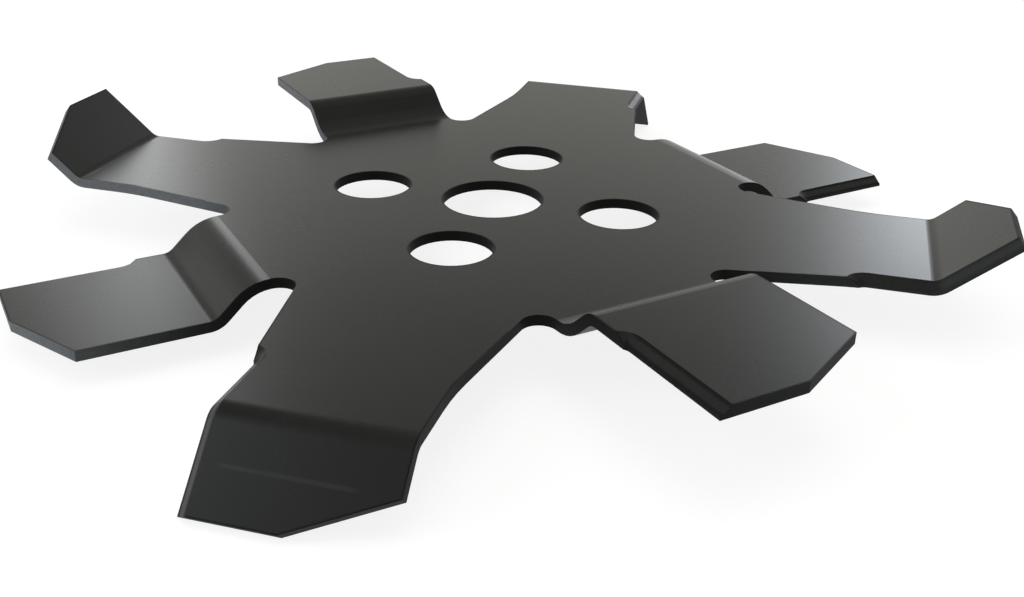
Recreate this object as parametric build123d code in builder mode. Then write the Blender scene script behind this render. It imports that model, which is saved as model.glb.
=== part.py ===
"""Brush cutter blade: one steel plate with a drilled hub and eight folded arms.

The plate is cut as a flat star, then folded. Four straight arms carry a tip that is folded up on
one opposite pair and down on the other. Four joggled arms between them step to a higher level on
one opposite pair and to a lower level on the other, and run on level. Every arm has a bevel ground
on its cutting edge, which is the clockwise edge seen from above.

The origin is the centre of the bore, half way through the plate, with +Z up.
"""
import os
from math import atan2, cos, radians, sin, tan

from build123d import *

# Plate
plate_thickness = 2.5

# Hub
bore_diameter = 25.4
hub_hole_diameter = 19.7
hub_hole_circle_diameter = 65.1
hub_hole_count = 4

# Star outline, the same for every arm
arm_pair_count = 4
arm_width = 40.0
taper_end = 91.0
taper_angle = 9.8
taper_blend_radius = 60.0
slot_end_radius = 4.0

# Straight arms: where the tip folds, and by how much
upturned_fold_distance = 107.4
upturned_fold_angle = 41.2
downturned_fold_distance = 109.2
downturned_fold_angle = 44.5
folded_tip_length = 19.5
tip_fold_inside_radius = 3.5

# Joggled arms: the two folds, the step in level and the reach of the level tip
joggle_root_distance = 69.2
joggle_angle = 42.5
joggle_root_inside_radius = 9.5
joggle_shoulder_inside_radius = 3.5
raised_step = 7.1
lowered_step = 7.3
joggled_arm_reach = 116.4

# Tip shape: how far the slanted trailing half is cut back at its outer corner
heel_setback = 9.7

# Ground cutting edge: widths are measured in from the outline of the flat star
bevel_width = 3.0
edge_setback = 0.5
edge_land = 0.6
straight_arm_bevel_start = 92.5
joggled_arm_bevel_start = 90.0
grinding_run_out_radius = 2.0

# Working allowance: how far cutting shapes stand clear of the part
clear_of_part = 1.0

half_width = arm_width / 2
half_thickness = plate_thickness / 2
tip_fold_radius = tip_fold_inside_radius + half_thickness
joggle_root_radius = joggle_root_inside_radius + half_thickness
joggle_shoulder_radius = joggle_shoulder_inside_radius + half_thickness
flat_hub_radius = joggle_root_distance - joggle_root_radius
arm_root_distance = hub_hole_circle_diameter / 2
root_half_width = half_width + (taper_end - arm_root_distance) * tan(radians(taper_angle))
outline_reach = folded_tip_length + max(upturned_fold_distance, downturned_fold_distance, joggled_arm_reach)


def ahead(point, angle, distance):
    """The point reached from a (distance out, height) point by going on at an angle."""
    return (
        point[0] + distance * cos(angle),
        point[1] + distance * sin(angle),
    )


def folded_line(points, radii):
    """Draw straight runs through the points, with each corner between them rounded to its radius."""
    here = points[0]
    for before, corner, after, radius in zip(points, points[1:], points[2:], radii):
        way_in = atan2(corner[1] - before[1], corner[0] - before[0])
        way_out = atan2(after[1] - corner[1], after[0] - corner[0])
        setback = radius * tan(abs(way_out - way_in) / 2)
        fold_start = ahead(corner, way_in, -setback)
        fold_end = ahead(corner, way_out, setback)
        Line(here, fold_start)
        TangentArc(fold_start, fold_end, tangent=(cos(way_in), sin(way_in)))
        here = fold_end
    Line(here, points[-1])


def folded_arm(side_points, fold_radii, tip_angle, bevel_start, strip_half_width):
    """An arm along +X with uncut sides, from the corners of its middle line seen from the side."""
    last_corner, toe = side_points[-2:]
    with BuildPart() as arm:
        with BuildSketch(Plane.XZ):
            with BuildLine():
                folded_line(side_points, fold_radii)
            trace(line_width=plate_thickness)
        extrude(amount=strip_half_width, both=True)

        # Trailing half of the tip, cut back at a slant
        tip_plane = Plane(
            origin=(toe[0], 0, toe[1]),
            x_dir=(cos(tip_angle), 0, sin(tip_angle)),
            z_dir=(-sin(tip_angle), 0, cos(tip_angle)),
        )
        with BuildSketch(tip_plane):
            with BuildLine():
                Polyline(
                    (0, 0),
                    (-heel_setback, half_width),
                    (-heel_setback, strip_half_width + clear_of_part),
                    (clear_of_part, strip_half_width + clear_of_part),
                    (clear_of_part, 0),
                    close=True,
                )
            make_face()
        extrude(amount=plate_thickness, both=True, mode=Mode.SUBTRACT)

        # What the grinding takes off the cutting edge, swept from its start to past the toe
        bevel_slope = (plate_thickness - edge_land) / (bevel_width - edge_setback)
        bevel_points = [(bevel_start, last_corner[1]), last_corner, ahead(toe, tip_angle, clear_of_part)]
        if bevel_start >= last_corner[0]:
            bevel_points.remove(last_corner)
        with BuildLine(Plane.XZ):
            folded_line(bevel_points, fold_radii[-1:])
        with BuildSketch(Plane((bevel_start, 0, last_corner[1]), (0, 1, 0), (1, 0, 0))) as ground_off:
            with BuildLine():
                Polyline(
                    (-half_width + bevel_width + clear_of_part / bevel_slope, half_thickness + clear_of_part),
                    (-half_width + edge_setback, edge_land - half_thickness),
                    (-half_width + edge_setback, -half_thickness - clear_of_part),
                    (-half_width - clear_of_part, -half_thickness - clear_of_part),
                    (-half_width - clear_of_part, half_thickness + clear_of_part),
                    close=True,
                )
            make_face()
        sweep(mode=Mode.SUBTRACT)

        # Run-out that the rim of the grinding wheel leaves at the start of the bevel
        wheel_axis = Axis((bevel_start, -half_width - grinding_run_out_radius, 0), (0, 0, 1))
        revolve(ground_off.sketch, axis=wheel_axis, revolution_arc=90, mode=Mode.SUBTRACT)
    return arm.part


def straight_arm(fold_distance, fold_angle):
    """A flat arm whose tip is folded up, or down where the angle is negative."""
    tip_angle = radians(fold_angle)
    fold = (fold_distance, 0)
    side_points = [(arm_root_distance, 0), fold, ahead(fold, tip_angle, folded_tip_length)]
    return folded_arm(side_points, [tip_fold_radius], tip_angle, straight_arm_bevel_start, root_half_width)


def joggled_arm(step):
    """An arm that steps up, or down where the step is negative, and runs on level."""
    root = (joggle_root_distance, 0)
    shoulder = (joggle_root_distance + abs(step) / tan(radians(joggle_angle)), step)
    side_points = [(arm_root_distance, 0), root, shoulder, (joggled_arm_reach, step)]
    fold_radii = [joggle_root_radius, joggle_shoulder_radius]
    return folded_arm(side_points, fold_radii, 0, joggled_arm_bevel_start, half_width + slot_end_radius)


# Flat star outline
with BuildSketch() as star:
    with PolarLocations(0, arm_pair_count):
        Polygon(
            (arm_root_distance, root_half_width),
            (0, 0),
            (arm_root_distance, -root_half_width),
            (taper_end, -half_width),
            (outline_reach, -half_width),
            (outline_reach, half_width),
            (taper_end, half_width),
            align=None,
        )
    with PolarLocations(0, arm_pair_count, start_angle=180 / arm_pair_count):
        Rectangle(outline_reach, arm_width, align=(Align.MIN, Align.CENTER))
    fillet(star.vertices().group_by(SortBy.DISTANCE)[1], taper_blend_radius)
    fillet(star.vertices().group_by(SortBy.DISTANCE)[0], slot_end_radius)

# Blade
with BuildPart() as blade:
    with BuildSketch(Plane.XY.offset(-half_thickness)):
        Circle(flat_hub_radius)
    extrude(amount=plate_thickness)
    with PolarLocations(0, 2):
        add(straight_arm(upturned_fold_distance, upturned_fold_angle))
    with PolarLocations(0, 2, start_angle=90):
        add(straight_arm(downturned_fold_distance, -downturned_fold_angle))
    with PolarLocations(0, 2, start_angle=135):
        add(joggled_arm(raised_step))
    with PolarLocations(0, 2, start_angle=45):
        add(joggled_arm(-lowered_step))
    add(extrude(star.sketch, amount=outline_reach, both=True, mode=Mode.PRIVATE), mode=Mode.INTERSECT)
    Hole(radius=bore_diameter / 2)
    with PolarLocations(hub_hole_circle_diameter / 2, hub_hole_count):
        Hole(radius=hub_hole_diameter / 2)

blade.part.label = "blade"
os.makedirs("parts", exist_ok=True)
export_step(blade.part, "parts/blade.step")
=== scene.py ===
"""Looks of the brush cutter blade: satin black lacquered steel in a plain white studio."""
from math import atan2, cos, pi, radians, sin

import bpy
from mathutils import Euler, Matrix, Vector


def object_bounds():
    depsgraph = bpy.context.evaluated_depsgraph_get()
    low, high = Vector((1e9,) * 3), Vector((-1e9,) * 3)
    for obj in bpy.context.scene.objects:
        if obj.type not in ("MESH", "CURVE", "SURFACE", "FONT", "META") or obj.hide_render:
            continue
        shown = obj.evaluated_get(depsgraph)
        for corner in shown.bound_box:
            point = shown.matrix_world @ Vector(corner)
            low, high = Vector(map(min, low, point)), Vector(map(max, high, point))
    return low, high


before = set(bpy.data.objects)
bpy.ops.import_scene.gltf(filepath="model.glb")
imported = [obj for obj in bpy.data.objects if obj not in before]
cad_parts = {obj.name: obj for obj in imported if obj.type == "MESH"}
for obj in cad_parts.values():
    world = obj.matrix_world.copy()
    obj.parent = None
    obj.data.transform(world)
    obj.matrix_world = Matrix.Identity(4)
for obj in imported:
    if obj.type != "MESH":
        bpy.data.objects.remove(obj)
cad_low, cad_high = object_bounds()

# The photograph's frame and camera, in metres
image_width = 1024
sensor_width = 36.0
focal_length_px = 1154.456
camera_place = Vector((0.078686, -0.262513, 0.108602))
camera_turn = Euler((radians(63.6682), radians(-0.8772), radians(15.9988)))

# The blade's own sizes that its finish follows, in metres and degrees
arm_spacing = pi / 4
half_width = 0.020
taper_end = 0.091
taper_slope = 0.173
side_start = 0.066
upturned_fold_distance = 0.1074
upturned_fold_angle = 41.2
downturned_fold_distance = 0.1092
downturned_fold_angle = 44.5
folded_tip_length = 0.0195
joggled_arm_reach = 0.1164
heel_setback = 0.0097
bore_radius = 0.0127
hub_hole_distance = 0.03255
hub_hole_radius = 0.00985
bevel_middle = 0.01825
bevel_lean = 0.605

# In metres: painted shade as a dark line along every rim, and the faint mark of the folding tool
rim_shade_width = 0.0005
press_mark_distance = 0.0098

# Studio light: a bright band above the horizon, dimmer overhead
band_top = 21.3
overhead_start = 27.4
band_strength = 0.80
overhead_strength = 0.35
light_tint = (1.0, 1.005, 0.935)

# Soft panels: turn to the right of the camera's way of looking, width, softness of the sides, lowest
# and highest rise, softness of the ends, all in degrees, and then the colour of the light
soft_panels = {
    "left_panel": (-19.9, 3.6, 2.4, 5, 38, 3, (4.1, 4.2, 4.3)),
    "left_glow": (-14.5, 10, 6, 5, 26, 3, (0.13, 0.13, 0.12)),
    "right_panel": (22.5, 8.4, 3.7, 5, 27, 3, (5.3, 5.6, 6.0)),
    "right_glow": (13.0, 10, 6, 5, 21, 3, (0.15, 0.15, 0.14)),
    "right_high_panel": (50, 50, 15, 33, 75, 5, (0.12, 0.12, 0.12)),
    "rear_panel": (-106.0, 26, 7, 10, 50, 4, (3.2, 3.4, 3.7)),
}


class Signal:
    """A socket of a shader tree, on which Python's operators add Math nodes."""

    def __init__(self, tree, socket):
        self.tree = tree
        self.socket = socket

    def maths(self, operation, *others):
        values = dict(enumerate((self, *others)))
        return add_node(self.tree, "ShaderNodeMath", {"operation": operation}, values)

    def reversed_maths(self, operation, other):
        return add_node(self.tree, "ShaderNodeMath", {"operation": operation}, {0: other, 1: self})

    def __add__(self, other):
        return self.maths("ADD", other)

    def __radd__(self, other):
        return self.reversed_maths("ADD", other)

    def __sub__(self, other):
        return self.maths("SUBTRACT", other)

    def __rsub__(self, other):
        return self.reversed_maths("SUBTRACT", other)

    def __mul__(self, other):
        return self.maths("MULTIPLY", other)

    def __rmul__(self, other):
        return self.reversed_maths("MULTIPLY", other)

    def __truediv__(self, other):
        return self.maths("DIVIDE", other)

    def __abs__(self):
        return self.maths("ABSOLUTE")

    def fade(self, start, end):
        """0 at start and 1 at end, smooth between."""
        values = {"Value": self, "From Min": start, "From Max": end}
        if start > end:
            values = {"Value": self, "From Min": end, "From Max": start, "To Min": 1.0, "To Max": 0.0}
        return add_node(self.tree, "ShaderNodeMapRange", {"interpolation_type": "SMOOTHSTEP"}, values)

    def parts(self):
        """The three parts of a vector."""
        return [add_node(self.tree, "ShaderNodeSeparateXYZ", {}, {0: self}, axis) for axis in range(3)]


def add_node(tree, kind, settings=None, inputs=None, output=0):
    """Any shader node: its settings first, then the values or links of its sockets."""
    node = tree.nodes.new(kind)
    for name, value in (settings or {}).items():
        setattr(node, name, value)
    for name, value in (inputs or {}).items():
        if isinstance(value, Signal):
            tree.links.new(value.socket, node.inputs[name])
        else:
            node.inputs[name].default_value = value
    return Signal(tree, node.outputs[output]) if node.outputs else None


def new_material(name):
    """An empty material and its node tree."""
    material = bpy.data.materials.new(name)
    material.use_nodes = True
    material.node_tree.nodes.clear()
    return material, material.node_tree


def noise(tree, place, scale, detail=2.0):
    """Soft noise about 0.5, with its scale in cells per metre."""
    return add_node(tree, "ShaderNodeTexNoise", {}, {"Vector": place, "Scale": scale, "Detail": detail})


def mix_colour(tree, amount, first, second):
    """One colour fading into another."""
    return add_node(tree, "ShaderNodeMix", {"data_type": "RGBA"}, {0: amount, 6: first, 7: second}, 2)


def lacquered_steel():
    """Satin black lacquer over steel plate, with matt cut walls and a ground bevel beneath it, painted shade
    along the rims and underneath, and a painted sheen on the front walls.
    """
    material, tree = new_material("black_lacquer")
    place = add_node(tree, "ShaderNodeTexCoord", output="Object")
    x, y, z = place.parts()
    face_x, face_y, face_z = add_node(tree, "ShaderNodeTexCoord", output="Normal").parts()

    # Each point's own arm: how far out it is, how far across, and how its surface leans across
    arm_angle = (y.maths("ARCTAN2", x) / arm_spacing).maths("ROUND") * arm_spacing
    arm_cos = arm_angle.maths("COSINE")
    arm_sin = arm_angle.maths("SINE")
    along = x * arm_cos + y * arm_sin
    across = y * arm_cos - x * arm_sin
    lean_along = face_x * arm_cos + face_y * arm_sin
    lean_across = face_y * arm_cos - face_x * arm_sin
    upturned = abs(arm_cos).fade(0.8, 0.9)
    downturned = abs(arm_sin).fade(0.8, 0.9)
    straight = upturned + downturned

    # How far out along the plate, following the tips that are folded up or down
    fold_distance = (
        upturned * upturned_fold_distance + downturned * downturned_fold_distance + (1 - straight)
    )
    past_fold = (along - fold_distance).fade(-0.0015, 0.0015)
    beyond = (along - fold_distance).maths("MAXIMUM", 0.0)
    height = z * past_fold
    down_tip = (beyond * beyond + height * height).maths("SQRT")
    reach = along.maths("MINIMUM", fold_distance) + down_tip
    toe = (
        upturned * (upturned_fold_distance + folded_tip_length)
        + downturned * (downturned_fold_distance + folded_tip_length)
        + (1 - straight) * joggled_arm_reach
    )

    # Distance to the nearest rim, and what counts as a bevel and as a cut wall
    half_here = half_width + straight * (taper_end - along).maths("MAXIMUM", 0.0) * taper_slope
    side_gap = half_here - abs(across) + along.fade(side_start + 0.002, side_start) * half_width
    toe_gap = toe - reach - across.maths("MAXIMUM", 0.0) * (heel_setback / half_width)
    centre_distance = (x * x + y * y).maths("SQRT")
    from_hole = along - hub_hole_distance
    hole_gap = abs((from_hole * from_hole + across * across).maths("SQRT") - hub_hole_radius)
    hole_gap = hole_gap + (1 - straight) * half_width
    rim_gap = side_gap.maths("MINIMUM", toe_gap).maths("MINIMUM", hole_gap)
    rim_gap = rim_gap.maths("MINIMUM", abs(centre_distance - bore_radius))
    bevel = abs(lean_across + bevel_lean).fade(0.16, 0.08) * face_z.fade(0.1, 0.3)
    tip_lean = past_fold * (
        downturned * sin(radians(downturned_fold_angle)) - upturned * sin(radians(upturned_fold_angle))
    )
    plate_facing = face_z * (1 - tip_lean * tip_lean).maths("SQRT") + lean_along * tip_lean
    wall = abs(plate_facing).fade(0.4, 0.25)
    # Painted shade: a dark line along every rim outside the bevel
    rim_shade = rim_gap.fade(rim_shade_width, rim_shade_width * 0.3) * (1 - bevel)
    # Painted shade: dark lines along both edges of the bevel
    bevel_edge_shade = bevel * abs(across + bevel_middle).fade(0.0004, 0.0009)
    # Underside matt and darker: painted shade for the shadowed floor beneath the blade
    matt_shaded_underside = plate_facing.fade(-0.3, -0.6)

    # Faint line that the folding tool leaves across the tips that are folded down
    press_mark = (
        downturned
        * past_fold
        * abs(down_tip - press_mark_distance).fade(0.0006, 0.0002)
        * abs(x + 0.001).fade(0.014, 0.011)
    )

    # Painted sheen: front walls painted lighter, most on the left arms, a little on the right one
    painted_sheen = (face_x * -0.2 - face_y * 0.98).fade(0.2, 0.8) * (
        x.fade(-0.035, -0.075) + x.fade(0.060, 0.085) * 0.12
    )

    clouds = noise(tree, place, 22.0, 3.0)
    mottle = noise(tree, place, 240.0)
    grain = noise(tree, place, 2600.0, 1.0)
    grinding = noise(tree, place, 900.0)

    roughness = 0.275 + (clouds - 0.5) * 0.03 + (mottle - 0.5) * 0.006 + bevel * (grinding - 0.3) * 0.25
    lacquer = mix_colour(tree, clouds.fade(0.3, 0.7), (0.0105, 0.0105, 0.0100, 1), (0.013, 0.013, 0.0125, 1))
    lacquer = mix_colour(tree, press_mark * 0.5, lacquer, (0.030, 0.031, 0.032, 1))
    bump = add_node(tree, "ShaderNodeBump", {}, {"Strength": 0.05, "Distance": 0.00003, "Height": grain})
    face = add_node(
        tree,
        "ShaderNodeBsdfPrincipled",
        {},
        {"Base Color": lacquer, "Roughness": roughness, "IOR": 1.35, "Normal": bump},
    )
    # Cut walls near black, painted lighter where the painted sheen lies
    wall_colour_and_sheen = mix_colour(
        tree, painted_sheen * (0.6 + grinding * 0.4), (0.004, 0.004, 0.004, 1), (0.172, 0.183, 0.194, 1)
    )
    matt_wall_and_shade = add_node(
        tree,
        "ShaderNodeBsdfPrincipled",
        {},
        {"Base Color": wall_colour_and_sheen, "Roughness": 0.6, "IOR": 1.18, "Normal": bump},
    )
    # Mix into the matt dark shader: the cut walls, and painted shade along the rims, the bevel's edges and
    # the underside
    matt_and_painted_shade = wall.maths("MAXIMUM", rim_shade * 0.7).maths("MAXIMUM", bevel_edge_shade * 0.8)
    matt_and_painted_shade = matt_and_painted_shade.maths("MAXIMUM", matt_shaded_underside * 0.6)
    surface = add_node(tree, "ShaderNodeMixShader", {}, {0: matt_and_painted_shade, 1: face, 2: matt_wall_and_shade})
    add_node(tree, "ShaderNodeOutputMaterial", {}, {"Surface": surface})
    return material


def studio_floor(height):
    """A plain white floor that keeps the blade's soft shadow."""
    bpy.ops.mesh.primitive_plane_add(size=8.0, location=(0, 0, height))
    floor = bpy.context.object
    floor.name = "studio_floor"
    material, tree = new_material("white_paper")
    seen = add_node(tree, "ShaderNodeLightPath", output="Is Camera Ray")
    for way in ("Is Glossy Ray", "Is Transmission Ray"):
        seen = seen.maths("MAXIMUM", add_node(tree, "ShaderNodeLightPath", output=way))
    paper = add_node(tree, "ShaderNodeBsdfDiffuse", {}, {"Color": (0.9, 0.9, 0.9, 1)})
    white = add_node(tree, "ShaderNodeEmission", {}, {"Color": (1, 1, 1, 1), "Strength": 1.13})
    surface = add_node(tree, "ShaderNodeMixShader", {}, {0: seen * 0.75, 1: paper, 2: white})
    add_node(tree, "ShaderNodeOutputMaterial", {}, {"Surface": surface})
    floor.data.materials.append(material)


def camera_heading():
    """The camera's way of looking, as an angle from +Y towards +X."""
    forward = camera_turn.to_matrix() @ Vector((0, 0, -1))
    return atan2(forward.x, forward.y)


def studio_world():
    """Light from all round, brighter where the soft panels are."""
    world = bpy.data.worlds.new("studio")
    bpy.context.scene.world = world
    world.use_nodes = True
    tree = world.node_tree
    tree.nodes.clear()
    x, y, z = add_node(tree, "ShaderNodeTexCoord", output="Generated").parts()
    rise = z.maths("ARCSINE") * (180 / pi)

    def coloured(colour, amount):
        values = {0: colour, "Scale": amount}
        return add_node(tree, "ShaderNodeVectorMath", {"operation": "SCALE"}, values)

    band = rise.fade(overhead_start, band_top) * (band_strength - overhead_strength)
    light = coloured(light_tint, band + overhead_strength)
    for turn, width, side_softness, low, high, end_softness, colour in soft_panels.values():
        heading = camera_heading() + radians(turn)
        ahead = x * sin(heading) + y * cos(heading)
        aside = x * cos(heading) - y * sin(heading)
        off = abs(aside.maths("ARCTAN2", ahead)) * (180 / pi)
        mask = (
            off.fade(width / 2 + side_softness, max(width / 2 - side_softness, 0))
            * rise.fade(low - end_softness, low + end_softness)
            * rise.fade(high + end_softness, high - end_softness)
        )
        values = {0: light, 1: coloured(colour, mask)}
        light = add_node(tree, "ShaderNodeVectorMath", {"operation": "ADD"}, values)
    sky = add_node(tree, "ShaderNodeBackground", {}, {"Color": light, "Strength": 1.0})
    add_node(tree, "ShaderNodeOutputWorld", {}, {"Surface": sky})


def top_lamp():
    """A wide soft lamp straight above, which lights the floor and draws the shadow."""
    light = bpy.data.lights.new("top_lamp", "AREA")
    light.shape = "SQUARE"
    light.size = 1.2
    light.energy = 6.8
    lamp = bpy.data.objects.new("top_lamp", light)
    lamp.location = (0, 0, 1.5)
    lamp.visible_camera = False
    lamp.visible_glossy = False
    bpy.context.collection.objects.link(lamp)


def photograph_camera():
    """The camera at the photograph's place, with its angle and lens."""
    data = bpy.data.cameras.new("camera")
    data.sensor_width = sensor_width
    data.lens = focal_length_px / image_width * sensor_width
    data.clip_start = 0.01
    camera = bpy.data.objects.new("camera", data)
    camera.location = camera_place
    camera.rotation_euler = camera_turn
    bpy.context.collection.objects.link(camera)
    bpy.context.scene.camera = camera


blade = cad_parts["blade"]
blade.data.materials.clear()
blade.data.materials.append(lacquered_steel())

studio_floor(cad_low.z)
studio_world()
top_lamp()
photograph_camera()
bpy.context.scene.view_settings.view_transform = "Standard"
